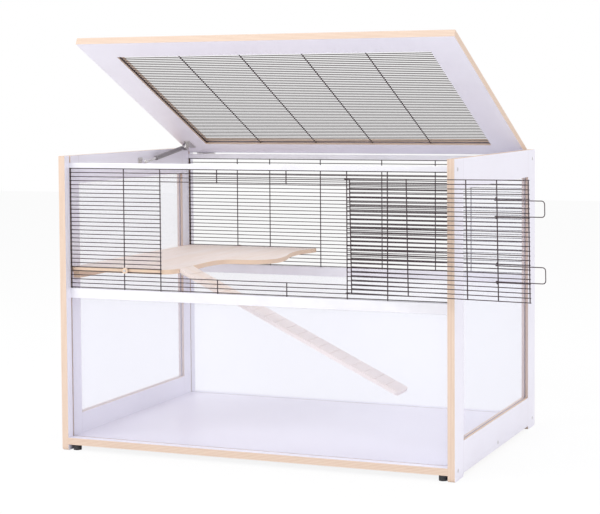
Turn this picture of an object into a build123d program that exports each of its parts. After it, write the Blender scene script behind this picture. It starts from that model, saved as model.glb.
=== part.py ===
from build123d import *
import os
from math import atan2, ceil, cos, degrees, hypot, radians, sin, tan

# A free-standing rodent cage with its lid and its wire door open. X runs to the right, Y to the
# rear and +Z up, in millimetres. The pieces are drawn about the middle of the footprint, on the
# ground, and save moves them so that the origin is the middle of the left front stile's foot.

# Driving dimensions
cage_width = 900.0
cage_depth = 640.0
cage_height = 648.0
board = 15.0                # plywood of the side frames, the floor and the lid
stile_width = 62.0
top_rail_height = 62.0
bottom_rail_height = 66.0
foot_height = 8.0           # the stiles run this far below the bottom rails
floor_underside = 13.0
mesh_inset = 22.0           # front edge of a side frame to the upright wires
wire_pitch = 9.0
rows_per_panel = 30
first_row_height = 620.5    # top wire of the front and rear mesh
mid_rail_base = 335.5
lid_open_angle = 24.35      # photographed angle, where the strut stops
door_open_angle = 166.0
door_hinge_lean = 0.5       # the loose eyes let the hinge line lean this much

# Sizes of bought sections and wires
upright_radius = 1.1
row_radius = 0.9
weld_sink = 0.05            # how far two crossed wires melt into each other
wire_sides = 8
bend_step = 32.0            # most degrees in one chord of a bend
pane = 3.0
pane_play = 0.2
window_groove_depth = 7.0
panel_groove = 5.0          # width of the grooves that hold mesh and lower panes
panel_groove_depth = 5.0
profile_wall = 1.5
profile_depth = 9.6
top_rail_profile_height = 11.0
mid_rail_profile_height = 22.0
corner_radius = 6.0

# Places worked out from them
half_width = cage_width / 2
half_depth = cage_depth / 2
inner_x = half_width - board
stile_edge_y = half_depth - stile_width
window_top = cage_height - top_rail_height
window_base = foot_height + bottom_rail_height
floor_top = floor_underside + board
mesh_y = half_depth - mesh_inset
row_offset = upright_radius + row_radius - weld_sink
channel_y = mesh_y - row_offset / 2
lid_rest_height = cage_height - board
top_profile_crown = lid_rest_height - 0.3
top_profile_base = top_profile_crown - top_rail_profile_height
mid_rail_crown = mid_rail_base + mid_rail_profile_height
wire_end_x = inner_x + panel_groove_depth - 1.0
upright_x = [-433.0, -302.0, -214.0, -79.5, 79.5, 214.0, 302.0, 433.0]
door_frame_x = 214.0        # the two uprights beside the door opening
last_row_above_door = 3
first_row_below_door = 26

os.makedirs("parts", exist_ok=True)


to_left_front_foot = Pos(half_width - board / 2, half_depth - stile_width / 2, 0)


def save(name, *shapes):
    """Write one sub-part, made of one or more solids, in the frame of the left front foot."""
    solids = [to_left_front_foot * s for shape in shapes for s in shape.solids()]
    shape = solids[0] if len(solids) == 1 else Compound(children=solids)
    export_step(shape, f"parts/{name}.step")


def block(x0, x1, y0, y1, z0, z1):
    """A box between two corners."""
    middle = ((x0 + x1) / 2, (y0 + y1) / 2, (z0 + z1) / 2)
    return Pos(*middle) * Box(abs(x1 - x0), abs(y1 - y0), abs(z1 - z0))


def rod(start, end, radius):
    """A straight round bar between two points."""
    axis = Vector(*end) - Vector(*start)
    return Solid.make_cylinder(radius, axis.length, Plane(origin=start, z_dir=axis))


def wire(start, end, radius):
    """A straight wire, eight-sided so that hundreds of them stay light."""
    axis = Vector(*end) - Vector(*start)
    section = RegularPolygon(radius, wire_sides, major_radius=False)
    return extrude(Plane(origin=start, x_dir=axis.cross(Vector(0.2, 0.3, 1)), z_dir=axis) * section,
                   amount=axis.length)


def bent_wire(edges, radius):
    """A wire of the same section along tangent lines and arcs, mitred between short even chords."""
    points = [edges[0] @ 0]
    for edge in edges:
        assert (edge @ 0 - points[-1]).length < 0.001
        chords = 1
        if edge.geom_type == GeomType.CIRCLE:
            chords = ceil(degrees(edge.length / edge.radius) / bend_step)
        points += [edge @ (i / chords) for i in range(1, chords + 1)]
    runs = [(b - a).normalized() for a, b in zip(points, points[1:])]
    start = Plane(origin=points[0], z_dir=runs[0])
    section = RegularPolygon(radius, wire_sides, major_radius=False)
    corners = [start.from_local_coords(Vector(*vertex)) for vertex in section.vertices()]
    rings = [corners]
    for point, run, following in zip(points[1:], runs, runs[1:] + runs[-1:]):
        mitre = run + following
        corners = [c + run * ((point - c).dot(mitre) / run.dot(mitre)) for c in corners]
        rings.append(corners)
    flats = [rings[0], rings[-1]]
    for near, far in zip(rings, rings[1:]):
        flats += [(near[i - 1], near[i], far[i], far[i - 1]) for i in range(wire_sides)]
    faces = [Face(Wire.make_polygon(flat, close=True)) for flat in flats]
    return Solid(Shell(Face.sew_faces(faces)[0]))


def row_height(row):
    return first_row_height - wire_pitch * row


def to_right(shape):
    """The mirror image across the middle of the cage."""
    return mirror(shape, about=Plane.YZ)


def to_rear(shape):
    return mirror(shape, about=Plane.XZ)


# Side frames: each has two full-height stiles, two rails between them and a clear window
def side_stile():
    """Left front stile, with its foot corners rounded and its two grooves."""
    stile = block(-half_width, -inner_x, -half_depth, -stile_edge_y, 0, cage_height)
    feet = stile.edges().filter_by(Axis.X).group_by(Axis.Z)[0]
    stile = fillet(feet, corner_radius)
    groove = block(-inner_x - panel_groove_depth, -inner_x + 1,
                   -channel_y - panel_groove / 2, -channel_y + panel_groove / 2,
                   floor_top - panel_groove_depth, cage_height + 1)
    return stile - groove - window_space(0)


def window_space(extra):
    """The slab that a left window and its groove take up, grown by extra all round."""
    half_thickness = pane / 2 + pane_play / 2 + extra
    reach = window_groove_depth + extra
    middle_x = -half_width + board / 2
    return block(middle_x - half_thickness, middle_x + half_thickness,
                 -stile_edge_y - reach, stile_edge_y + reach,
                 window_base - reach, window_top + reach)


front_stile = side_stile()
top_rail = block(-half_width, -inner_x, -stile_edge_y, stile_edge_y,
                 window_top, cage_height) - window_space(0)
bottom_rail = block(-half_width, -inner_x, -stile_edge_y, stile_edge_y,
                    foot_height, window_base) - window_space(0)
window = window_space(-pane_play / 2)
for name, piece in (("front_stile", front_stile), ("rear_stile", to_rear(front_stile)),
                    ("top_rail", top_rail), ("bottom_rail", bottom_rail), ("window", window)):
    save(f"left_{name}", piece)
    save(f"right_{name}", to_right(piece))

# Floor board, grooved for the two lower panes, on four black glides
pane_groove_sink = 4.0
pane_slot = pane + 2 * pane_play
floor = block(-inner_x, inner_x, -half_depth, half_depth, floor_underside, floor_top)
for y in (-channel_y, channel_y):
    floor -= block(-inner_x, inner_x, y - pane_slot / 2, y + pane_slot / 2,
                   floor_top - pane_groove_sink, floor_top + 1)
save("floor_board", floor)

glide_radius = 9.0
glide_x = inner_x - 14.0
glide_y = half_depth - 16.0
for side, x in (("left", -glide_x), ("right", glide_x)):
    for end, y in (("front", -glide_y), ("rear", glide_y)):
        save(f"{side}_{end}_glide", rod((x, y, 0), (x, y, floor_underside), glide_radius))


# Front and rear: a channel on top, welded mesh, an H section and a clear lower pane
def channel_rail():
    """Front top rail, a channel that is open downward."""
    half = profile_depth / 2
    rail = block(-inner_x, inner_x, -channel_y - half, -channel_y + half,
                 top_profile_base, top_profile_crown)
    long_edges = rail.edges().filter_by(Axis.X).group_by(Axis.Z)[-1]
    rail = fillet(long_edges, profile_wall / 2)
    return rail - block(-inner_x, inner_x, -channel_y - half + profile_wall,
                        -channel_y + half - profile_wall,
                        top_profile_base - 1, top_profile_crown - profile_wall)


def h_rail():
    """Front middle rail, with a channel above for the mesh and one below for the pane."""
    half = profile_depth / 2
    web_base = mid_rail_base + mid_rail_profile_height / 2 - profile_wall / 2
    rail = block(-inner_x, inner_x, -channel_y - half, -channel_y + half,
                 mid_rail_base, mid_rail_crown)
    rail = fillet(rail.edges().filter_by(Axis.X), profile_wall / 3)
    for z0, z1 in ((mid_rail_base - 1, web_base), (web_base + profile_wall, mid_rail_crown + 1)):
        rail -= block(-inner_x, inner_x, -channel_y - half + profile_wall,
                      -channel_y + half - profile_wall, z0, z1)
    return rail


mesh_top = top_profile_crown - profile_wall - 1.0
mesh_base = mid_rail_base + mid_rail_profile_height / 2 + profile_wall / 2 + 1.0


def upright(x, z0, z1):
    return wire((x, -mesh_y, z0), (x, -mesh_y, z1), upright_radius)


def row(row_number, x0, x1):
    z = row_height(row_number)
    y = -mesh_y + row_offset
    return wire((x0, y, z), (x1, y, z), row_radius)


lower_pane = block(-inner_x - panel_groove_depth + pane_play, inner_x + panel_groove_depth - pane_play,
                   -channel_y - pane / 2, -channel_y + pane / 2,
                   floor_top - pane_groove_sink + pane_play,
                   mid_rail_base + mid_rail_profile_height / 2 - profile_wall / 2 - 1.0)
for name, piece in (("top_rail", channel_rail()), ("mid_rail", h_rail()), ("lower_pane", lower_pane)):
    save(f"front_{name}", piece)
    save(f"rear_{name}", to_rear(piece))

rear_wires = [row(i, -wire_end_x, wire_end_x) for i in range(rows_per_panel)]
rear_wires += [upright(x, mesh_base, mesh_top) for x in upright_x]
save("rear_mesh", *[to_rear(bar) for bar in rear_wires])

# The front mesh goes round the door opening, so it is written as its four flat fields
header_rows = range(last_row_above_door + 1)
sill_rows = range(first_row_below_door, rows_per_panel)
side_rows = range(last_row_above_door + 1, first_row_below_door)
short_x = [x for x in upright_x if abs(x) < door_frame_x]
header_end = row_height(last_row_above_door) - row_radius
sill_end = row_height(first_row_below_door) + row_radius
save("front_mesh_header", *[row(i, -wire_end_x, wire_end_x) for i in header_rows],
     *[upright(x, header_end, mesh_top) for x in short_x])
save("front_mesh_sill", *[row(i, -wire_end_x, wire_end_x) for i in sill_rows],
     *[upright(x, mesh_base, sill_end) for x in short_x])
left_field = [row(i, -wire_end_x, -door_frame_x + upright_radius) for i in side_rows]
left_field += [upright(x, mesh_base, mesh_top) for x in upright_x if x <= -door_frame_x]
save("front_mesh_left", *left_field)
save("front_mesh_right", *[to_right(bar) for bar in left_field])

# Wire door. It is laid out closed, from its hinge line towards -X, then swung open.
hinge_x = door_frame_x
hinge_wire_offset = 3.4     # hinge line to the middle of the door's rows, and radius of its eyes
door_pitches = 26
door_lift = row_radius * 2 + 0.3    # the eyes sit on row 2 and row 28 of the mesh
door_top = row_height(2) + door_lift
door_base = door_top - door_pitches * wire_pitch
door_middle = (door_top + door_base) / 2
door_first_upright = 8.0
door_reach = 420.0
door_third = (door_reach - door_first_upright) / 3
door_uprights = [door_first_upright, door_first_upright + door_third,
                 door_first_upright + 2 * door_third,
                 door_first_upright + 2.5 * door_third, door_reach]
latch_stop = door_uprights[3]
eye_turn = 280.0

lean = radians(door_hinge_lean)
door_axis = Axis((hinge_x, -mesh_y, door_middle), (-sin(lean), 0, cos(lean)))


def swung(shape):
    """Carry a piece of the closed door to its photographed, open place."""
    placed = Pos(hinge_x, -mesh_y, 0) * shape
    return placed.rotate(door_axis, door_open_angle)


def eyed_wire(z):
    """A door row whose end is curled round the hinge upright."""
    centre_x = -tan(lean) * (z - door_middle)
    start = (-door_reach - upright_radius, -hinge_wire_offset, z)
    curl = CenterArc((centre_x, 0, z), hinge_wire_offset, -90, eye_turn).edge()
    return bent_wire([Line(start, (centre_x, -hinge_wire_offset, z)).edge(), curl], row_radius)


door_wires = [eyed_wire(door_top), eyed_wire(door_base)]
for i in range(1, door_pitches):
    z = door_top - i * wire_pitch
    door_wires.append(wire((-door_first_upright + upright_radius, -hinge_wire_offset, z),
                           (-door_reach - upright_radius, -hinge_wire_offset, z), row_radius))
upright_y = -hinge_wire_offset + row_offset
for distance in door_uprights:
    door_wires.append(wire((-distance, upright_y, door_base - row_radius),
                           (-distance, upright_y, door_top + row_radius), upright_radius))
save("door_mesh", *[swung(bar) for bar in door_wires])

# Two sliding latches: U loops whose ends are curled round rows of the door
latch_arm_y = 4.2           # behind the rows of the closed mesh
latch_eye_radius = 2.6
latch_nose = door_reach + 37.0
latch_corner = 6.0
latch_bend = 2.5
latch_start = latch_stop - upright_radius - row_radius - 0.6


def latch(upper_row, lower_row):
    """One loop, from its eye on the upper row round the nose to its eye on the lower row."""
    upper = door_top - upper_row * wire_pitch
    lower = door_top - lower_row * wire_pitch
    arm_high = upper - latch_eye_radius
    arm_low = lower + latch_eye_radius
    x = -latch_start
    tip = -latch_nose
    eye_up = Plane(origin=(x, -hinge_wire_offset, upper), x_dir=(0, 1, 0), z_dir=(1, 0, 0))
    eye_down = Plane(origin=(x, -hinge_wire_offset, lower), x_dir=(0, 1, 0), z_dir=(1, 0, 0))
    bend_y = latch_arm_y - latch_bend

    def leg_bend(z, start_angle, turn):
        centre = Plane(origin=(x - latch_bend, bend_y, z))
        return (centre * CenterArc((0, 0, 0), latch_bend, start_angle, turn)).edge()

    def nose_bend(z, start_angle):
        centre = Plane(origin=(tip + latch_corner, latch_arm_y, z), x_dir=(1, 0, 0), z_dir=(0, -1, 0))
        return (centre * CenterArc((0, 0, 0), latch_corner, start_angle, 90)).edge()

    edges = [
        (eye_up * CenterArc((0, 0, 0), latch_eye_radius, 0, 270)).edge(),
        Line((x, -hinge_wire_offset, arm_high), (x, bend_y, arm_high)).edge(),
        leg_bend(arm_high, 0, 90),
        Line((x - latch_bend, latch_arm_y, arm_high), (tip + latch_corner, latch_arm_y, arm_high)).edge(),
        nose_bend(arm_high - latch_corner, 90),
        Line((tip, latch_arm_y, arm_high - latch_corner), (tip, latch_arm_y, arm_low + latch_corner)).edge(),
        nose_bend(arm_low + latch_corner, 180),
        Line((tip + latch_corner, latch_arm_y, arm_low), (x - latch_bend, latch_arm_y, arm_low)).edge(),
        leg_bend(arm_low, 90, -90),
        Line((x, bend_y, arm_low), (x, -hinge_wire_offset, arm_low)).edge(),
        (eye_down * CenterArc((0, 0, 0), latch_eye_radius, 90, 270)).edge(),
    ]
    return bent_wire(edges, row_radius)


save("upper_latch", swung(latch(4, 8)))
save("lower_latch", swung(latch(18, 22)))

# Lid: four boards round a wire mesh, laid out closed and then turned up about the hinge line
lid_half_width = inner_x - 1.0
lid_front = -half_depth
lid_rear = channel_y + profile_depth / 2
lid_front_rail_width = 68.0
lid_rear_rail_width = 56.0
lid_stile_width = 69.0
lid_mesh_height = lid_rest_height + 6.0
lid_groove = 4.4
lid_groove_depth = 7.0
lid_hinge_y = 308.0
lid_hinge_z = 637.0
lid_axis = Axis((0, lid_hinge_y, lid_hinge_z), (-1, 0, 0))
lid_opening_x = lid_half_width - lid_stile_width
lid_opening_front = lid_front + lid_front_rail_width
lid_opening_rear = lid_rear - lid_rear_rail_width
lid_cross_wires = 6


def raised(shape):
    """Carry a piece of the closed lid to its photographed, open place."""
    return shape.rotate(lid_axis, lid_open_angle)


lid_groove_space = block(-lid_opening_x - lid_groove_depth, lid_opening_x + lid_groove_depth,
                         lid_opening_front - lid_groove_depth, lid_opening_rear + lid_groove_depth,
                         lid_mesh_height - lid_groove / 2, lid_mesh_height + lid_groove / 2)


def lid_board(x0, x1, y0, y1):
    plank = block(x0, x1, y0, y1, lid_rest_height, cage_height)
    return raised(plank - lid_groove_space)


save("lid_front_rail", lid_board(-lid_half_width, lid_half_width, lid_front, lid_opening_front))
save("lid_rear_rail", lid_board(-lid_half_width, lid_half_width, lid_opening_rear, lid_rear))
save("lid_left_stile", lid_board(-lid_half_width, -lid_opening_x, lid_opening_front, lid_opening_rear))
save("lid_right_stile", lid_board(lid_opening_x, lid_half_width, lid_opening_front, lid_opening_rear))

# The lid's rows lie on its cross wires; the spaces beside the border wires share out the rest
border = 2.0                # border wire, middle to the edge of the opening
lid_wire_bite = 6.0         # how far the wires reach into the boards
lid_row_z = lid_mesh_height + row_offset / 2
lid_cross_z = lid_mesh_height - row_offset / 2
lid_span = lid_opening_rear - lid_opening_front - 2 * border
lid_rows = ceil(lid_span / wire_pitch)
lid_wires = []
for i in range(lid_rows + 1):
    y = lid_opening_front + border + i * lid_span / lid_rows
    lid_wires.append(wire((-lid_opening_x - lid_wire_bite, y, lid_row_z),
                          (lid_opening_x + lid_wire_bite, y, lid_row_z), row_radius))
cross_span = 2 * (lid_opening_x - border)
for i in range(lid_cross_wires):
    x = -lid_opening_x + border + i * cross_span / (lid_cross_wires - 1)
    lid_wires.append(wire((x, lid_opening_front - lid_wire_bite, lid_cross_z),
                          (x, lid_opening_rear + lid_wire_bite, lid_cross_z), upright_radius))
save("lid_mesh", *[raised(bar) for bar in lid_wires])

# Two butt hinges behind the rear top rail
hinge_leaf = 1.6
knuckle_radius = 4.5
hinge_pin_radius = 1.5
hinge_play = 0.05
hinge_length = 48.0
hinge_centre_x = 392.0
knuckle_gap = 0.4
swing_gap = 0.4             # keeps the knuckles off the edges that pass them
leaf_y = lid_rear


def hinge_leaf_with_knuckles(z0, z1, spans, bore):
    """A flat leaf on the rear faces, with tubes round the pin over the given spans."""
    leaf = block(-hinge_length / 2, hinge_length / 2, leaf_y, leaf_y + hinge_leaf, z0, z1)
    for a, b in spans:
        barrel = rod((a, lid_hinge_y, lid_hinge_z), (b, lid_hinge_y, lid_hinge_z), knuckle_radius)
        neck = block(a, b, leaf_y + swing_gap, lid_hinge_y,
                     lid_hinge_z - hinge_leaf / 2, lid_hinge_z + hinge_leaf / 2)
        step = block(a, b, leaf_y + swing_gap, leaf_y + hinge_leaf,
                     min(z0, lid_hinge_z - hinge_leaf / 2), max(z1, lid_hinge_z + hinge_leaf / 2))
        leaf = leaf + barrel + neck + step
    for a, b in spans:
        leaf -= rod((a - 1, lid_hinge_y, lid_hinge_z), (b + 1, lid_hinge_y, lid_hinge_z), bore)
    return leaf


third = hinge_length / 6
middle_span = [(-third + knuckle_gap, third - knuckle_gap)]
outer_spans = [(-hinge_length / 2, -third - knuckle_gap), (third + knuckle_gap, hinge_length / 2)]
fixed_leaf = hinge_leaf_with_knuckles(top_profile_base + 0.5, lid_hinge_z - knuckle_radius - 0.5,
                                      middle_span, hinge_pin_radius)
moving_leaf = hinge_leaf_with_knuckles(lid_hinge_z + knuckle_radius + 0.5, cage_height - 0.5,
                                       outer_spans, hinge_pin_radius + hinge_play)
pin = rod((-hinge_length / 2 - 1, lid_hinge_y, lid_hinge_z),
          (hinge_length / 2 + 1, lid_hinge_y, lid_hinge_z), hinge_pin_radius)
for side, x in (("left", -hinge_centre_x), ("right", hinge_centre_x)):
    save(f"{side}_hinge_fixed_leaf", Pos(x, 0, 0) * fixed_leaf)
    save(f"{side}_hinge_lid_leaf", raised(Pos(x, 0, 0) * moving_leaf))
    save(f"{side}_hinge_pin", Pos(x, 0, 0) * pin)

# Gas strut at the left, from a stud on the side frame to a bracket under the lid
strut_x = -inner_x + 13.0
strut_foot = (strut_x, 32.5, 621.5)
strut_head = (strut_x, 247.0, 651.0)
strut_rise = atan2(strut_head[2] - strut_foot[2], strut_head[1] - strut_foot[1])
strut_length = hypot(strut_head[1] - strut_foot[1], strut_head[2] - strut_foot[2])
stud_radius = 3.0
stud_play = 0.05
end_eye_radius = 6.0
end_eye_thickness = 7.0
rod_radius = 3.0
rod_bore_play = 0.05
cylinder_radius = 5.5
neck_radius = 2.5
cylinder_start = 58.0       # from the foot pivot to the mouth of the cylinder
cylinder_end = strut_length - 17.0
rod_end = cylinder_end - 25.0
head_bore = 5.6             # wide, because the head pivot is where the linkage is opened
head_eye_radius = 8.0


def strut_place(shape):
    """Stand a piece drawn along +X from the foot pivot at its place on the side frame."""
    frame = Plane(origin=strut_foot, x_dir=(0, cos(strut_rise), sin(strut_rise)), z_dir=(1, 0, 0))
    return frame * shape


def end_eye(distance, outer, bore):
    ring = Cylinder(outer, end_eye_thickness) - Cylinder(bore, end_eye_thickness + 2)
    return Pos(distance, 0, 0) * ring


def along(start, end, radius):
    return rod((start, 0, 0), (end, 0, 0), radius)


strut_rod = end_eye(0, end_eye_radius, stud_radius + stud_play)
strut_rod += along(end_eye_radius - 1.0, rod_end, rod_radius)
save("strut_rod", strut_place(strut_rod))

tube_radius = rod_radius + rod_bore_play
bore_end = rod_end + 5.0
neck_end = strut_length - head_eye_radius + 1.0
rim = 0.8                   # bevel at both ends of the cylinder
cylinder_outline = Polyline((cylinder_start, tube_radius), (cylinder_start, cylinder_radius - rim),
                            (cylinder_start + rim, cylinder_radius), (cylinder_end - rim, cylinder_radius),
                            (cylinder_end, cylinder_radius - rim), (cylinder_end, neck_radius),
                            (neck_end, neck_radius), (neck_end, 0), (bore_end, 0), (bore_end, tube_radius),
                            close=True)
strut_cylinder = revolve(make_face(cylinder_outline), Axis.X)
strut_cylinder += end_eye(strut_length, head_eye_radius, head_bore)
save("strut_cylinder", strut_place(strut_cylinder))

stud_plate = 2.0
stud_plate_size = 22.0
stud_end = end_eye_thickness / 2 + 2.0
foot_x, foot_y, foot_z = strut_foot
foot_bracket = block(-inner_x, -inner_x + stud_plate, foot_y - stud_plate_size / 2,
                     foot_y + stud_plate_size / 2, foot_z - stud_plate_size / 2, foot_z + stud_plate_size / 2)
foot_bracket = fillet(foot_bracket.edges().filter_by(Axis.X), 4)
foot_bracket += rod((-inner_x + 1, foot_y, foot_z), (foot_x + stud_end, foot_y, foot_z), stud_radius)
collar_x = foot_x - end_eye_thickness / 2 - 0.5
foot_bracket += rod((-inner_x + 1, foot_y, foot_z), (collar_x, foot_y, foot_z), stud_radius + 1.8)
save("strut_frame_bracket", foot_bracket)

# The lid bracket is drawn in the closed lid, so the head pivot is first carried back there
swing = radians(lid_open_angle)
head_dy = strut_head[1] - lid_hinge_y
head_dz = strut_head[2] - lid_hinge_z
closed_head_y = lid_hinge_y + head_dy * cos(swing) - head_dz * sin(swing)
closed_head_z = lid_hinge_z + head_dy * sin(swing) + head_dz * cos(swing)
lug_x0 = strut_x + end_eye_thickness / 2 + 1.0
lug_x1 = lug_x0 + 2.5
plate_length = 40.0
head_bracket = block(lug_x0, lug_x1, closed_head_y - 9, closed_head_y + 9,
                     closed_head_z - 5, lid_rest_height)
head_bracket += block(lug_x0, lug_x0 + 16, closed_head_y - plate_length / 2,
                      closed_head_y + plate_length / 2, lid_rest_height - 2.0, lid_rest_height)
head_bracket += rod((strut_x - stud_end, closed_head_y, closed_head_z),
                    (lug_x1, closed_head_y, closed_head_z), stud_radius)
save("strut_lid_bracket", raised(head_bracket))

# Shelf with a wavy right edge, on a batten at the left and clamped to both meshes
shelf_top = 403.5
shelf_thickness = 10.0
shelf_base = shelf_top - shelf_thickness
shelf_y = mesh_y - row_offset - row_radius - 0.6
ramp_edge_x = -190.0
clamp_x = -299.0
clamp_z = row_height(24.5) - 0.25
clamp_disc_radius = 6.2
clamp_disc_thickness = 4.0
clamp_bolt_radius = 1.5
clamp_bolt_depth = 18.0
bolt_head_radius = 3.0
bolt_head_height = 1.6
batten_size = 15.0
batten_half_length = 286.0


def shelf_board():
    """The board, with a straight stretch for the ramp and a long wave behind it."""
    wave_points = [(-194, -95), (-174, -38), (-124, -31), (-84, 0), (-77, 56), (-104, 180), (-105, 230)]
    corner = (ramp_edge_x, -262)
    bend = (ramp_edge_x, -185)
    edges = [
        Line((-inner_x, -shelf_y), (-224, -shelf_y)),
        TangentArc((-224, -shelf_y), corner, tangent=(1, 0)),
        Line(corner, bend),
        Spline(bend, *wave_points, (-90, shelf_y), tangents=((0, 1), (0.2, 1))),
        Line((-90, shelf_y), (-inner_x, shelf_y)),
        Line((-inner_x, shelf_y), (-inner_x, -shelf_y)),
    ]
    outline = make_face(edges)
    board_solid = extrude(Pos(0, 0, shelf_base) * outline, amount=shelf_thickness)
    for flip in (-1, 1):
        board_solid -= rod((clamp_x, flip * (shelf_y + 1), clamp_z),
                           (clamp_x, flip * (shelf_y - clamp_bolt_depth), clamp_z), clamp_bolt_radius)
    return board_solid


save("shelf", shelf_board())
save("shelf_batten", block(-inner_x, -inner_x + batten_size, -batten_half_length, batten_half_length,
                           shelf_base - batten_size, shelf_base))

disc_face = mesh_y + upright_radius
disc_back = disc_face + clamp_disc_thickness
for end, flip in (("front", -1), ("rear", 1)):
    inner = (clamp_x, flip * (shelf_y - clamp_bolt_depth), clamp_z)
    face = (clamp_x, flip * disc_face, clamp_z)
    back = (clamp_x, flip * disc_back, clamp_z)
    outer = (clamp_x, flip * (disc_back + bolt_head_height), clamp_z)
    save(f"{end}_clamp_disc", rod(face, back, clamp_disc_radius))
    save(f"{end}_clamp_bolt", rod(inner, face, clamp_bolt_radius), rod(back, outer, bolt_head_radius))

# Ramp with scored treads, drawn along its slope, and the small hinge under its upper end
ramp_slope = radians(25.7)
ramp_length = 555.0
ramp_thickness = 8.0
ramp_near_y = -257.0
ramp_far_y = -191.0
tread_pitch = 27.5
tread_groove = 2.4
tread_depth = 1.5
ramp_end_radius = 9.0
ramp_gap = 0.6              # upper end of the ramp to the shelf
ramp_pin_x = ramp_edge_x + 0.3
ramp_pin_z = shelf_base - 3.7
ramp_pin_radius = 1.2
ramp_knuckle_radius = 2.4
ramp_leaf = 1.0
ramp_leaf_reach = 22.0
ramp_hinge_half = 21.0
ramp_middle_y = (ramp_near_y + ramp_far_y) / 2
ramp_frame = Plane(origin=(ramp_edge_x + ramp_gap, ramp_middle_y, shelf_top),
                   x_dir=(cos(ramp_slope), 0, -sin(ramp_slope)), z_dir=(0, -1, 0))


def ramp_board():
    outline = [(0, 0)]
    treads = int(ramp_length / tread_pitch) - 1
    for i in range(1, treads + 1):
        x = i * tread_pitch
        outline += [(x - tread_groove / 2, 0), (x, -tread_depth), (x + tread_groove / 2, 0)]
    outline += [(ramp_length, 0), (ramp_length, -ramp_thickness),
                (ramp_thickness * tan(ramp_slope), -ramp_thickness)]
    side = make_face(Polyline(*outline, close=True))
    plank = extrude(side, amount=(ramp_far_y - ramp_near_y) / 2, both=True)
    ends = plank.edges().filter_by(Axis.Y).group_by(Axis.X)[-1]
    return ramp_frame * fillet(ends, ramp_end_radius)


save("ramp", ramp_board())

hinge_third = ramp_hinge_half / 3
pin_y0 = ramp_middle_y - ramp_hinge_half
pin_y1 = ramp_middle_y + ramp_hinge_half
shelf_leaf = block(ramp_pin_x - ramp_leaf_reach, ramp_edge_x - 0.5, pin_y0, pin_y1,
                   shelf_base - ramp_leaf, shelf_base)
middle_y0 = ramp_middle_y - hinge_third + knuckle_gap
middle_y1 = ramp_middle_y + hinge_third - knuckle_gap
shelf_leaf += rod((ramp_pin_x, middle_y0, ramp_pin_z), (ramp_pin_x, middle_y1, ramp_pin_z),
                  ramp_knuckle_radius)
shelf_leaf += block(ramp_pin_x - ramp_knuckle_radius, ramp_pin_x, middle_y0, middle_y1,
                    ramp_pin_z, shelf_base - ramp_leaf / 2)
shelf_leaf -= rod((ramp_pin_x, pin_y0, ramp_pin_z), (ramp_pin_x, pin_y1, ramp_pin_z), ramp_pin_radius)
save("ramp_hinge_shelf_leaf", shelf_leaf)
save("ramp_hinge_pin", rod((ramp_pin_x, pin_y0 - 0.5, ramp_pin_z),
                           (ramp_pin_x, pin_y1 + 0.5, ramp_pin_z), ramp_pin_radius))

local_pin = ramp_frame.to_local_coords(Vector(ramp_pin_x, ramp_middle_y, ramp_pin_z))
under_leaf = block(local_pin.X - 0.3, local_pin.X + ramp_leaf_reach, -ramp_thickness - ramp_leaf,
                   -ramp_thickness, -ramp_hinge_half, ramp_hinge_half)
for z0, z1 in ((-ramp_hinge_half, -hinge_third - knuckle_gap), (hinge_third + knuckle_gap, ramp_hinge_half)):
    under_leaf += rod((local_pin.X, local_pin.Y, z0), (local_pin.X, local_pin.Y, z1), ramp_knuckle_radius)
    under_leaf += block(local_pin.X - 0.3, local_pin.X + ramp_knuckle_radius, local_pin.Y,
                        -ramp_thickness - ramp_leaf / 2, z0, z1)
under_leaf -= rod((local_pin.X, local_pin.Y, -ramp_hinge_half - 1),
                  (local_pin.X, local_pin.Y, ramp_hinge_half + 1), ramp_pin_radius + hinge_play)
save("ramp_hinge_ramp_leaf", ramp_frame * under_leaf)
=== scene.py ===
from math import cos, pi, radians, sin

import bpy
import numpy as np
from mathutils import Matrix, Vector


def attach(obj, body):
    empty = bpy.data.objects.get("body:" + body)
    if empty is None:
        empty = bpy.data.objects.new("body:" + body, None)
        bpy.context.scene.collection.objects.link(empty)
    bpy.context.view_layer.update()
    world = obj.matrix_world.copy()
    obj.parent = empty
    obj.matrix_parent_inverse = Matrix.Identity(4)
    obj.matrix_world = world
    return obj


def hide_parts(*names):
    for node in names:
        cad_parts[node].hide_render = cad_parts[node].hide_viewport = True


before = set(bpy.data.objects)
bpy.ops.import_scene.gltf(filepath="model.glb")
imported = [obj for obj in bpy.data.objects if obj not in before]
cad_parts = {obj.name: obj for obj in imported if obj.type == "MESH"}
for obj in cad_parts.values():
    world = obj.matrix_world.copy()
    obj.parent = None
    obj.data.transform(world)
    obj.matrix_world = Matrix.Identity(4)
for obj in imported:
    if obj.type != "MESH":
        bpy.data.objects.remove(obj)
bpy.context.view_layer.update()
print("frame loaded:", len(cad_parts), "nodes")

mm = 0.001
# Places below are about the middle of the footprint, and toFoot takes them to the frame's origin
toFoot = Vector((442.5, 289, 0)) * mm
cage = {"halfWidth": 450 * mm, "board": 15 * mm, "stileEdge": 258 * mm, "floorBase": 13 * mm}
lidHinge = Vector((0, 308 * mm, 637 * mm))   # the lid's turning line
lidAngle = radians(24.35)                    # how far the lid stands open at rest
lidRest = 633 * mm                           # underside of the closed lid
lidTurn = Matrix.Rotation(-lidAngle, 3, "X")


def raised(place):   # where a place on the closed lid lies at rest
    return lidHinge + lidTurn @ (Vector(place) - lidHinge)


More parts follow.
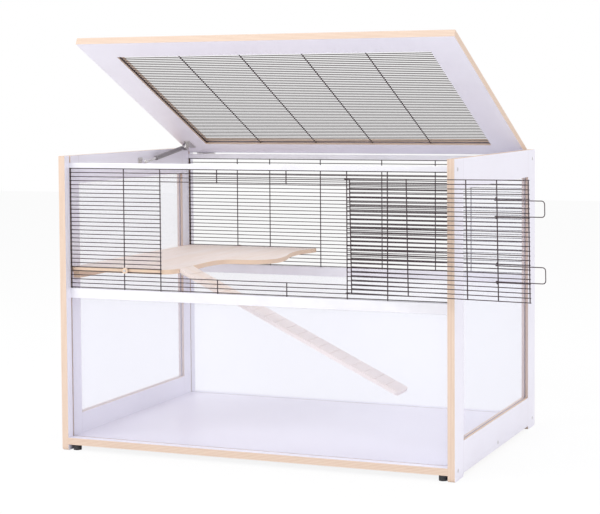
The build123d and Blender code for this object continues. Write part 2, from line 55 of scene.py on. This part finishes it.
class Lead:   # one socket of a material, with the sums that shaders need

    def __init__(self, sheet, socket):
        self.sheet = sheet
        self.socket = socket

    def sum(self, kind, first, second):
        return self.sheet.add("ShaderNodeMath", {"operation": kind}, [first, second])

    def __add__(self, other):
        return self.sum("ADD", self, other)

    def __sub__(self, other):
        return self.sum("SUBTRACT", self, other)

    def __mul__(self, other):
        return self.sum("MULTIPLY", self, other)

    def __truediv__(self, other):
        return self.sum("DIVIDE", self, other)

    def __mod__(self, other):
        return self.sum("FLOORED_MODULO", self, other)

    def __radd__(self, other):
        return self.sum("ADD", other, self)

    def __rsub__(self, other):
        return self.sum("SUBTRACT", other, self)

    def __abs__(self):
        return self.sum("ABSOLUTE", self, 0)

    def fold(self, low, high):   # 0 below low, 1 above high, smooth between
        return self.sheet.add("ShaderNodeMapRange", {"interpolation_type": "SMOOTHSTEP"},
                              {"Value": self, "From Min": low, "From Max": high})


class Sheet:   # a material under construction

    def __init__(self, name):
        self.material = bpy.data.materials.new(name)
        self.material.use_nodes = True
        self.tree = self.material.node_tree
        self.tree.nodes.clear()
        self.out = self.tree.nodes.new("ShaderNodeOutputMaterial")

    def add(self, kind, settings=None, values=None, give=0):   # settings first, then sockets
        node = self.tree.nodes.new(kind)
        for key, value in (settings or {}).items():
            setattr(node, key, value)
        pairs = values.items() if isinstance(values, dict) else enumerate(values or [])
        for key, value in pairs:
            if isinstance(value, Lead):
                self.tree.links.new(value.socket, node.inputs[key])
            else:
                node.inputs[key].default_value = value
        return Lead(self, node.outputs[give])

    def split(self, lead):
        return [self.add("ShaderNodeSeparateXYZ", None, [lead], give=i) for i in range(3)]

    def spot(self, turn=0.0):   # place about the footprint's middle, turned back where a board is raised
        lead = self.add("ShaderNodeTexCoord", give="Object")
        middle = self.add("ShaderNodeVectorMath", {"operation": "SUBTRACT"}, [lead, tuple(toFoot)])
        return self.turned(middle, turn)

    def facing(self, turn=0.0):
        lead = self.add("ShaderNodeTexCoord", give="Normal")
        return self.split(self.turned(lead, turn))

    def turned(self, lead, turn):
        if not turn:
            return lead
        return self.add("ShaderNodeMapping", None, {"Vector": lead, "Rotation": (turn, 0, 0)})

    def noise(self, spot, scale, detail=3.0, rough=0.5, warp=0.0):
        if not isinstance(scale, (int, float)):
            spot = self.add("ShaderNodeMapping", None, {"Vector": spot, "Scale": scale})
            scale = 1.0
        return self.add("ShaderNodeTexNoise", None, {"Vector": spot, "Scale": scale, "Detail": detail,
                                                     "Roughness": rough, "Distortion": warp})

    def blend(self, amount, first, second):   # from first to second as amount goes from 0 to 1
        first = (*first, 1) if isinstance(first, tuple) else first
        second = (*second, 1) if isinstance(second, tuple) else second
        return self.add("ShaderNodeMix", {"data_type": "RGBA"}, {0: amount, 6: first, 7: second}, give=2)

    def bump(self, height, distance, strength):
        return self.add("ShaderNodeBump", None,
                        {"Height": height, "Distance": distance, "Strength": strength})

    def finish(self, shader):
        self.tree.links.new(shader.socket, self.out.inputs["Surface"])
        return self.material

    def surface(self, **values):   # the principled shader, with its sockets by name
        named = {key.replace("_", " "): (*value, 1) if isinstance(value, tuple) and len(value) == 3 else value
                 for key, value in values.items()}
        return self.finish(self.add("ShaderNodeBsdfPrincipled", None, named))


def wear(material, *nodes):
    for node in nodes:
        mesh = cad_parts[node].data
        mesh.materials.clear()
        mesh.materials.append(material)


# Laminated plywood: white faces, and edges that show the plies in a peach tone
plywood = {"white": (0.86, 0.84, 0.935), "shade": (0.835, 0.81, 0.905), "cloud": 7.0,
           "plyLight": (0.80, 0.65, 0.54), "plyDark": (0.60, 0.41, 0.30), "plies": 10.0,
           "across": 700.0, "along": 22.0, "fleck": 0.3, "waver": 0.5,
           "seam": (0.40, 0.33, 0.34), "seamHalf": 0.45 * mm, "seamDepth": 1.5,
           "edgeFrom": 0.45, "edgeTo": 0.60, "rough": 0.34, "edgeRough": 0.3, "relief": 0.2 * mm}


def laminatedPlywood(name, thick, along, base, turn=0.0, seams=()):
    # plies are a triangle wave across the thickness, shifted by grain that is stretched along the board
    sheet = Sheet(name)
    spot = sheet.spot(turn)
    place = sheet.split(spot)
    edge = 1 - abs(sheet.facing(turn)[thick]).fold(plywood["edgeFrom"], plywood["edgeTo"])
    cloud = sheet.noise(spot, plywood["cloud"], 3.0)
    white = sheet.blend(cloud.fold(0.35, 0.7), plywood["shade"], plywood["white"])
    stretch = [plywood["across"]] * 3
    stretch[along] = plywood["along"]
    grain = sheet.noise(spot, stretch, 4.0, 0.6)
    across = (place[thick] - base) / cage["board"] * plywood["plies"] + (grain - 0.5) * plywood["waver"]
    stripe = abs(across % 2.0 - 1.0).fold(0.3, 0.7)
    plies = sheet.blend(stripe * 0.7, plywood["plyLight"], plywood["plyDark"])
    fleck = sheet.noise(spot, [scale * plywood["fleck"] for scale in stretch], 5.0, 0.7)
    plies = sheet.blend(fleck.fold(0.5, 0.8) * 0.4, plies, plywood["plyDark"])
    colour = sheet.blend(edge, white, plies)
    height = cloud * 0.2 + edge * grain + sheet.noise(spot, 900.0, 2.0) * 0.12
    for axis, where in seams:
        gap = abs(abs(place[axis]) - where)
        line = 1 - gap.fold(plywood["seamHalf"] * 0.4, plywood["seamHalf"] * 1.6)
        colour = sheet.blend(line * 0.5, colour, plywood["seam"])
        height = height - line * plywood["seamDepth"]
    rough = plywood["rough"] + edge * plywood["edgeRough"] + (cloud - 0.5) * 0.1
    return sheet.surface(Base_Color=colour, Roughness=rough,
                         Normal=sheet.bump(height, plywood["relief"], 0.5), IOR=1.5)


sideThrough = {"left": -cage["halfWidth"], "right": cage["halfWidth"] - cage["board"]}
stileSeam = [(1, cage["stileEdge"])]
for side in ("left", "right"):
    upright = laminatedPlywood(side + "Stiles", 0, 2, sideThrough[side], seams=stileSeam)
    level = laminatedPlywood(side + "Rails", 0, 1, sideThrough[side], seams=stileSeam)
    wear(upright, side + "_front_stile", side + "_rear_stile")
    wear(level, side + "_top_rail", side + "_bottom_rail")
wear(laminatedPlywood("floorBoard", 2, 0, cage["floorBase"]), "floor_board")
lidBase = (lidTurn.inverted() @ raised((0, 0, lidRest)))[2]   # the lid's underside, once turned back
wear(laminatedPlywood("lidLong", 2, 0, lidBase, turn=lidAngle), "lid_front_rail", "lid_rear_rail")
wear(laminatedPlywood("lidShort", 2, 1, lidBase, turn=lidAngle), "lid_left_stile", "lid_right_stile")
print("side frames, floor and lid boards finished")


# Bare birch: pale face veneer with long fine grain, and plies on the edges
birch = {"face": (0.88, 0.78, 0.74), "line": (0.76, 0.62, 0.55), "edge": (0.82, 0.62, 0.47),
         "across": 260.0, "along": 14.0, "beech": 240.0, "band": 0.12, "rampSlope": radians(-25.7),
         "rough": 0.55, "relief": 0.25 * mm}


def bareBirch(name, stretch, turn=0.0):
    # grain is noise stretched along the board, with a slower wave that darkens whole bands
    sheet = Sheet(name)
    spot = sheet.spot()
    if turn:
        spot = sheet.add("ShaderNodeMapping", None, {"Vector": spot, "Rotation": (0, turn, 0)})
    grain = sheet.noise(spot, stretch, 6.0, 0.65, 0.4)
    band = sheet.noise(spot, [scale * birch["band"] for scale in stretch], 3.0)
    face = sheet.blend(grain.fold(0.42, 0.75) * 0.55, birch["face"], birch["line"])
    face = sheet.blend(band.fold(0.4, 0.8) * 0.35, face, birch["edge"])
    upward = abs(sheet.facing()[2]).fold(0.5, 0.8)
    colour = sheet.blend(upward, birch["edge"], face) if not turn else face
    return sheet.surface(Base_Color=colour, Roughness=birch["rough"] + (grain - 0.5) * 0.2,
                         Normal=sheet.bump(grain, birch["relief"], 0.5), IOR=1.45)


grainAlongY = [birch["across"], birch["along"], birch["across"]]
grainAlongX = [birch["along"], birch["across"], birch["across"]]
wear(bareBirch("shelfBirch", grainAlongY), "shelf")
wear(bareBirch("battenBirch", grainAlongY), "shelf_batten")
wear(bareBirch("rampBirch", grainAlongX, turn=birch["rampSlope"]), "ramp")
wear(bareBirch("clampBeech", [birch["beech"]] * 3), "front_clamp_disc", "rear_clamp_disc")


# Metals: satin cross rails, zinc plated fittings, enamelled cylinder, and the black wire
metal = {"patch": 18.0, "dull": 0.86, "relief": 0.06 * mm}


def brushedMetal(name, tone, stretch, rough, metallic=1.0):
    # fine drawing lines along the piece, which shade the roughness and the surface
    sheet = Sheet(name)
    spot = sheet.spot()
    lines = sheet.noise(spot, stretch, 3.0, 0.6)
    smear = sheet.noise(spot, metal["patch"], 3.0)
    dull = tuple(part * metal["dull"] for part in tone)
    colour = sheet.blend(smear.fold(0.3, 0.75) * 0.5, tone, dull)
    return sheet.surface(Base_Color=colour, Metallic=metallic, Roughness=rough + (lines - 0.5) * 0.16,
                         Normal=sheet.bump(lines, metal["relief"], 0.4))


railMetal = brushedMetal("crossRail", (0.87, 0.86, 0.91), [12.0, 900.0, 900.0], 0.36, 0.35)
wear(railMetal, "front_top_rail", "rear_top_rail", "front_mid_rail", "rear_mid_rail")
zinc = brushedMetal("zincPlate", (0.70, 0.68, 0.67), [400.0, 400.0, 400.0], 0.32)
wear(zinc, "left_hinge_fixed_leaf", "left_hinge_lid_leaf", "left_hinge_pin", "right_hinge_fixed_leaf",
     "right_hinge_lid_leaf", "right_hinge_pin", "strut_frame_bracket", "strut_lid_bracket",
     "ramp_hinge_shelf_leaf", "ramp_hinge_ramp_leaf", "ramp_hinge_pin", "front_clamp_bolt", "rear_clamp_bolt")
wear(brushedMetal("strutRod", (0.78, 0.77, 0.78), [500.0, 40.0, 500.0], 0.16), "strut_rod")
wear(brushedMetal("strutEnamel", (0.27, 0.25, 0.27), [300.0, 30.0, 300.0], 0.38, 0.3), "strut_cylinder")


coat = {"peel": 1400.0, "patch": 60.0, "pale": 1.9, "rough": 0.38, "relief": 0.05 * mm}


def powderCoat(name, tone):
    # orange peel of two noise sizes, worn a little paler on the high spots
    sheet = Sheet(name)
    spot = sheet.spot()
    peel = sheet.noise(spot, coat["peel"], 2.0)
    patch = sheet.noise(spot, coat["patch"], 3.0)
    pale = tuple(part * coat["pale"] for part in tone)
    colour = sheet.blend(patch.fold(0.5, 0.8) * 0.5, tone, pale)
    return sheet.surface(Base_Color=colour, Roughness=coat["rough"] + (patch - 0.5) * 0.2,
                         Normal=sheet.bump(peel, coat["relief"], 0.5), IOR=1.5)


wireCoat = powderCoat("blackWire", (0.040, 0.021, 0.026))
# the glides' near-black is partly their own colour and partly painted shadow under the floor's corners
glideBlackPaintedShadow = powderCoat("glideBlackPaintedShadow", (0.03, 0.028, 0.03))
wear(glideBlackPaintedShadow, "left_front_glide", "left_rear_glide", "right_front_glide", "right_rear_glide")


pane = {"tone": (0.84, 0.85, 1.0), "edge": (0.60, 0.66, 0.80), "dust": 30.0, "edgeCover": 0.5,
        "sideCover": 0.16, "lowerCover": 0.13}


def clearPane(name, alpha):
    # thin clear sheet: mostly let through, with gloss, faint dust and denser cut edges
    sheet = Sheet(name)
    dust = sheet.noise(sheet.spot(), pane["dust"], 4.0)
    facing = sheet.facing()
    edge = 1 - (abs(facing[0]) + abs(facing[1])).fold(0.5, 0.9)
    cover = alpha + edge * pane["edgeCover"] + (dust - 0.5) * 0.02
    colour = sheet.blend(edge * 0.6, pane["tone"], pane["edge"])
    return sheet.surface(Base_Color=colour, Roughness=0.06 + dust * 0.05, Alpha=cover, IOR=1.49)


wear(clearPane("sidePane", pane["sideCover"]), "left_window", "right_window")
wear(clearPane("lowerPane", pane["lowerCover"]), "front_lower_pane", "rear_lower_pane")
print("finishes laid on the frame")


# Pieces worked out as surfaces
def meshFrom(name, points, faces, material, body):
    mesh = bpy.data.meshes.new(name)
    mesh.from_pydata(points.tolist(), [], faces)
    mesh.materials.append(material)
    mesh.polygons.foreach_set("use_smooth", np.full(len(mesh.polygons), True))
    mesh.update()
    piece = bpy.data.objects.new(name, mesh)
    bpy.context.scene.collection.objects.link(piece)
    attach(piece, body)
    return piece


def gridFaces(rings, sides):
    # quad (i, j) joins ring i to ring i+1 at sides j and j+1, and one polygon closes each end
    a = np.arange(rings - 1)[:, None] * sides + np.arange(sides)[None, :]
    b = np.arange(rings - 1)[:, None] * sides + (np.arange(sides)[None, :] + 1) % sides
    quads = np.stack([a, b, b + sides, a + sides], axis=-1).reshape(-1, 4)
    last = (rings - 1) * sides
    return quads.tolist() + [list(range(sides - 1, -1, -1)), list(range(last, last + sides))]


def turnedShape(profile, sides, centre, axis):
    # a profile of (distance along the axis, radius) turned about the axis:
    # point = centre + axis * t + r * (cos a side + sin a other)
    axis = Vector(axis).normalized()
    side = axis.orthogonal().normalized()
    other = axis.cross(side)
    angle = np.linspace(0, 2 * pi, sides, endpoint=False)
    around = np.outer(np.cos(angle), side) + np.outer(np.sin(angle), other)
    profile = np.asarray(profile)
    points = (np.asarray(centre)[None, None, :] + profile[:, 0, None, None] * np.asarray(axis)[None, None, :]
              + profile[:, 1, None, None] * around[None, :, :])
    return points.reshape(-1, 3), gridFaces(len(profile), sides)


screw = {"radius": 4.2 * mm, "rise": 0.9 * mm, "sunk": 0.4 * mm, "rings": 6, "sides": 20, "domeEnd": 0.7,
         "socket": 1.5 * mm, "deep": 0.7 * mm}


def screwHead(name, centre, axis, body, scale=1.0):
    # a countersunk head: a low dome r = R cos t, h = H sin t, sunk in the middle to a driver's recess
    t = np.linspace(0, pi / 2 * screw["domeEnd"], screw["rings"])
    radius = screw["radius"] * scale
    dome = [(-screw["sunk"], radius)]
    dome += [(screw["rise"] * scale * sin(v), radius * cos(v)) for v in t]
    top = dome[-1][0]
    base = top - screw["deep"] * scale
    socket = screw["socket"] * scale
    dome += [(top, socket * 1.05), (base, socket * 0.8), (base, socket * 0.1)]
    points, faces = turnedShape(dome, screw["sides"], Vector(centre) + toFoot, axis)
    meshFrom(name, points, faces, screwSteel, body)


screwSteel = brushedMetal("screwSteel", (0.62, 0.60, 0.62), [300.0, 300.0, 300.0], 0.3)
sideScrews = [(-297, 627), (297, 627), (-297, 20.5), (0, 20.5), (297, 20.5)]   # y and z in millimetres
hingeScrews = {"middle": 392 * mm, "apart": 15 * mm, "rear": 303.45 * mm, "cageHeight": 627 * mm,
               "lidHeight": 644.5 * mm, "cageScale": 0.55, "lidScale": 0.5}
for side, sign in (("left", -1), ("right", 1)):
    for index, (y, z) in enumerate(sideScrews):
        screwHead(f"{side}SideScrew{index}", (sign * cage["halfWidth"], y * mm, z * mm), (sign, 0, 0), "cage")
for side, sign in (("left", -1), ("right", 1)):
    for index, offset in enumerate((-hingeScrews["apart"], hingeScrews["apart"])):
        x = sign * hingeScrews["middle"] + offset
        below = (x, hingeScrews["rear"], hingeScrews["cageHeight"])
        above = (x, hingeScrews["rear"], hingeScrews["lidHeight"])
        screwHead(f"{side}HingeScrew{index}", below, (0, 1, 0), "cage", hingeScrews["cageScale"])
        screwHead(f"{side}LidHingeScrew{index}", raised(above), lidTurn @ Vector((0, 1, 0)), "lid",
                  hingeScrews["lidScale"])
print("screws set")


# Wire: round bars with weld beads, which stand for the frame's eight-sided ones
wirework = {"sides": 12, "chamfer": 0.35, "endShare": 0.6, "endSlice": 0.3 * mm, "grip": 0.15 * mm,
            "straightWithin": 2.2 * mm, "crease": radians(50), "leastTurn": 0.3, "overrun": 0.01,
            "bead": (1.5 * mm, 1.5 * mm, 0.75 * mm), "beadReach": 0.47 * pi, "beadRings": 5, "beadSides": 8,
            "merge": 0.002 * mm}


def solidsOf(node):
    # the loose shells of a frame node with doubles merged, each as its points and its triangles
    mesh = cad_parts[node].data
    points = np.empty(len(mesh.vertices) * 3, np.float32)
    mesh.vertices.foreach_get("co", points)
    points = points.reshape(-1, 3).astype(float)
    corners = np.empty(len(mesh.loops), np.int32)
    mesh.loops.foreach_get("vertex_index", corners)
    keys, first, same = np.unique(np.round(points / wirework["merge"]).astype(np.int64), axis=0,
                                  return_index=True, return_inverse=True)
    joined = same.reshape(-1)[corners.reshape(-1, 3)]
    group = np.arange(len(keys))
    settled = False
    while not settled:
        before = group.copy()
        low = group[joined].min(axis=1)
        for corner in range(3):
            np.minimum.at(group, joined[:, corner], low)
        group = group[group]
        settled = np.array_equal(before, group)
    shells = []
    for label in np.unique(group):
        keep = np.flatnonzero(group == label)
        place = np.full(len(keys), -1)
        place[keep] = np.arange(len(keep))
        shells.append((points[first[keep]], place[joined[group[joined[:, 0]] == label]].tolist()))
    return shells


def barOf(shell):
    # a straight bar's ends are the middles of its farthest points along its longest direction
    spread = np.linalg.svd(shell - shell.mean(axis=0), full_matrices=False)[2][0]
    reach = shell @ spread
    first = shell[reach < reach.min() + wirework["endSlice"]].mean(axis=0)
    last = shell[reach > reach.max() - wirework["endSlice"]].mean(axis=0)
    off = (shell - first) - np.outer((shell - first) @ spread, spread)
    return first, last, np.linalg.norm(off, axis=1).max()


def roundBar(first, last, radius):
    # rings along the bar, the two end ones smaller: point = first + run*t + r*(cos a u + sin a v)
    run = Vector(last - first)
    cut = wirework["chamfer"] * radius
    end = wirework["endShare"] * radius
    profile = [(0, end), (cut, radius), (run.length - cut, radius), (run.length, end)]
    return turnedShape(profile, wirework["sides"], first, run)


def weldBead(middle, alongOne, alongOther):
    # an ellipsoid in the frame of the two bars: point = middle + a cos p cos q, b cos p sin q, c sin p
    one = alongOne / np.linalg.norm(alongOne)
    up = np.cross(one, alongOther)
    up /= np.linalg.norm(up)
    axes = np.stack([one, np.cross(up, one), up]) * np.asarray(wirework["bead"])[:, None]
    tilt = np.linspace(-wirework["beadReach"], wirework["beadReach"], wirework["beadRings"])[:, None]
    turn = np.linspace(0, 2 * pi, wirework["beadSides"], endpoint=False)[None, :]
    ball = np.stack([np.cos(tilt) * np.cos(turn), np.cos(tilt) * np.sin(turn),
                     np.sin(tilt) + 0 * turn], axis=-1)
    return middle + ball.reshape(-1, 3) @ axes, gridFaces(wirework["beadRings"], wirework["beadSides"])


def crossing(one, other):
    # the middle of the shortest line between two bars, if they cross within both lengths and touch
    u, v, w = one[1] - one[0], other[1] - other[0], one[0] - other[0]
    a, b, c, d, e = u @ u, u @ v, v @ v, u @ w, v @ w
    spread = a * c - b * b
    if spread < wirework["leastTurn"] * a * c:
        return None
    s, t = (b * e - c * d) / spread, (a * e - b * d) / spread
    over = wirework["overrun"]
    if not (-over < s < 1 + over and -over < t < 1 + over):
        return None
    nearOne, nearOther = one[0] + s * u, other[0] + t * v
    if np.linalg.norm(nearOne - nearOther) > one[2] + other[2] + wirework["grip"]:
        return None
    return (nearOne + nearOther) / 2


def wirePiece(name, node, body):
    shells = solidsOf(node)
    bars = [barOf(points) for points, triangles in shells]
    straight = [bar for bar in bars if bar[2] < wirework["straightWithin"]]
    parts = [roundBar(*bar) for bar in straight]
    parts += [shell for shell, bar in zip(shells, bars) if bar[2] >= wirework["straightWithin"]]
    for index, one in enumerate(straight):
        for other in straight[index + 1:]:
            middle = crossing(one, other)
            if middle is not None:
                parts.append(weldBead(middle, one[1] - one[0], other[1] - other[0]))
    points, faces, shift = [], [], 0
    for partPoints, partFaces in parts:
        points.append(partPoints)
        faces += [[corner + shift for corner in face] for face in partFaces]
        shift += len(partPoints)
    piece = meshFrom(name, np.concatenate(points), faces, wireCoat, body)
    piece.data.set_sharp_from_angle(angle=wirework["crease"])
    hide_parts(node)
    print(name, len(straight), "straight bars", len(parts) - len(shells), "beads")


wirePiece("rearWires", "rear_mesh", "cage")
for place in ("header", "sill", "left", "right"):
    wirePiece(place + "Wires", "front_mesh_" + place, "cage")
wirePiece("lidWires", "lid_mesh", "lid")
wirePiece("doorWires", "door_mesh", "door")
for latch in ("upper", "lower"):
    wirePiece(latch + "LatchWire", latch + "_latch", latch + "_latch")


# Camera: fitted to the photograph's long straight edges
photo = {"width": 600, "height": 514, "focal": 1670.4, "centre": (292.9, 190.2),
         "place": Vector((1419.7, -3492.7, 770.1)) * mm, "yaw": radians(22.524),
         "pitch": radians(3.144), "roll": radians(-0.394)}


def fitCamera():
    camera = bpy.data.cameras.new("photoCamera")
    camera.sensor_width = 36.0
    camera.lens = photo["focal"] / photo["width"] * camera.sensor_width
    camera.shift_x = (photo["width"] / 2 - photo["centre"][0]) / photo["width"]
    camera.shift_y = (photo["centre"][1] - photo["height"] / 2) / photo["width"]
    camera.clip_end = 50.0
    yaw, pitch, roll = photo["yaw"], photo["pitch"], photo["roll"]
    ahead = Vector((-sin(yaw) * cos(pitch), cos(yaw) * cos(pitch), -sin(pitch)))
    right = Vector((cos(yaw), sin(yaw), 0))
    up = right.cross(ahead)
    tilted = right * cos(roll) + up * sin(roll)
    top = up * cos(roll) - right * sin(roll)
    holder = bpy.data.objects.new("photoCamera", camera)
    turn = Matrix((tilted, top, -ahead)).transposed().to_4x4()
    holder.matrix_world = Matrix.Translation(photo["place"] + toFoot) @ turn
    bpy.context.scene.collection.objects.link(holder)
    bpy.context.scene.camera = holder


fitCamera()
bpy.context.scene.view_settings.view_transform = "Standard"
print("camera placed")


# Studio: white floor and surround, and soft lamps that leave the object's colours as written
studio = {"air": 0.76, "floorHalf": 9.0, "floorGlow": 0.88, "aim": (0, 0, 0.35), "topAim": (0, 0, 0.3)}


def softLamp(name, place, aim, size, power):
    lamp = bpy.data.lights.new(name, "AREA")
    lamp.shape = "RECTANGLE"
    lamp.size, lamp.size_y = size
    lamp.energy = power
    holder = bpy.data.objects.new(name, lamp)
    holder.location = Vector(place) + toFoot
    holder.rotation_euler = (Vector(aim) - Vector(place)).to_track_quat("-Z", "Y").to_euler()
    bpy.context.scene.collection.objects.link(holder)


def whiteWorld():
    world = bpy.data.worlds.new("studioAir")
    world.use_nodes = True
    tree = world.node_tree
    tree.nodes.clear()
    out = tree.nodes.new("ShaderNodeOutputWorld")
    rays = tree.nodes.new("ShaderNodeLightPath")
    seen = tree.nodes.new("ShaderNodeMath")
    seen.operation = "MAXIMUM"
    tree.links.new(rays.outputs["Is Camera Ray"], seen.inputs[0])
    tree.links.new(rays.outputs["Is Transmission Ray"], seen.inputs[1])
    both = tree.nodes.new("ShaderNodeMath")
    both.operation = "MAXIMUM"
    tree.links.new(seen.outputs[0], both.inputs[0])
    tree.links.new(rays.outputs["Is Glossy Ray"], both.inputs[1])
    strength = tree.nodes.new("ShaderNodeMapRange")
    tree.links.new(both.outputs[0], strength.inputs["Value"])
    strength.inputs["To Min"].default_value = studio["air"]
    strength.inputs["To Max"].default_value = 1.0
    back = tree.nodes.new("ShaderNodeBackground")
    back.inputs["Color"].default_value = (1, 1, 1, 1)
    tree.links.new(strength.outputs[0], back.inputs["Strength"])
    tree.links.new(back.outputs[0], out.inputs["Surface"])
    bpy.context.scene.world = world


def studioFloor():
    half = studio["floorHalf"]
    corners = [(-half, -half, 0), (half, -half, 0), (half, half, 0), (-half, half, 0)]
    mesh = bpy.data.meshes.new("studioFloor")
    mesh.from_pydata(corners, [], [(0, 1, 2, 3)])
    sheet = Sheet("studioWhite")
    cloud = sheet.noise(sheet.spot(), 2.0, 2.0)
    tone = sheet.blend(cloud, (0.93, 0.93, 0.94), (0.95, 0.95, 0.955))
    lit = sheet.add("ShaderNodeBsdfDiffuse", None, {"Color": tone})
    glow = sheet.add("ShaderNodeEmission", None, {"Color": (1, 1, 1, 1), "Strength": 1.0})
    rays = sheet.add("ShaderNodeLightPath", give="Is Camera Ray")
    share = rays * studio["floorGlow"]
    mesh.materials.append(sheet.finish(sheet.add("ShaderNodeMixShader", None, [share, lit, glow])))
    floor = bpy.data.objects.new("studioFloor", mesh)
    bpy.context.scene.collection.objects.link(floor)


whiteWorld()
studioFloor()
softLamp("keyLamp", (-2.2, -3.0, 3.0), studio["aim"], (2.6, 2.0), 74.0)
softLamp("fillLamp", (3.2, -2.0, 1.8), studio["aim"], (2.4, 2.0), 26.0)
softLamp("topLamp", (0.2, 0.6, 3.4), studio["topAim"], (2.6, 2.6), 24.0)
print("studio lit")
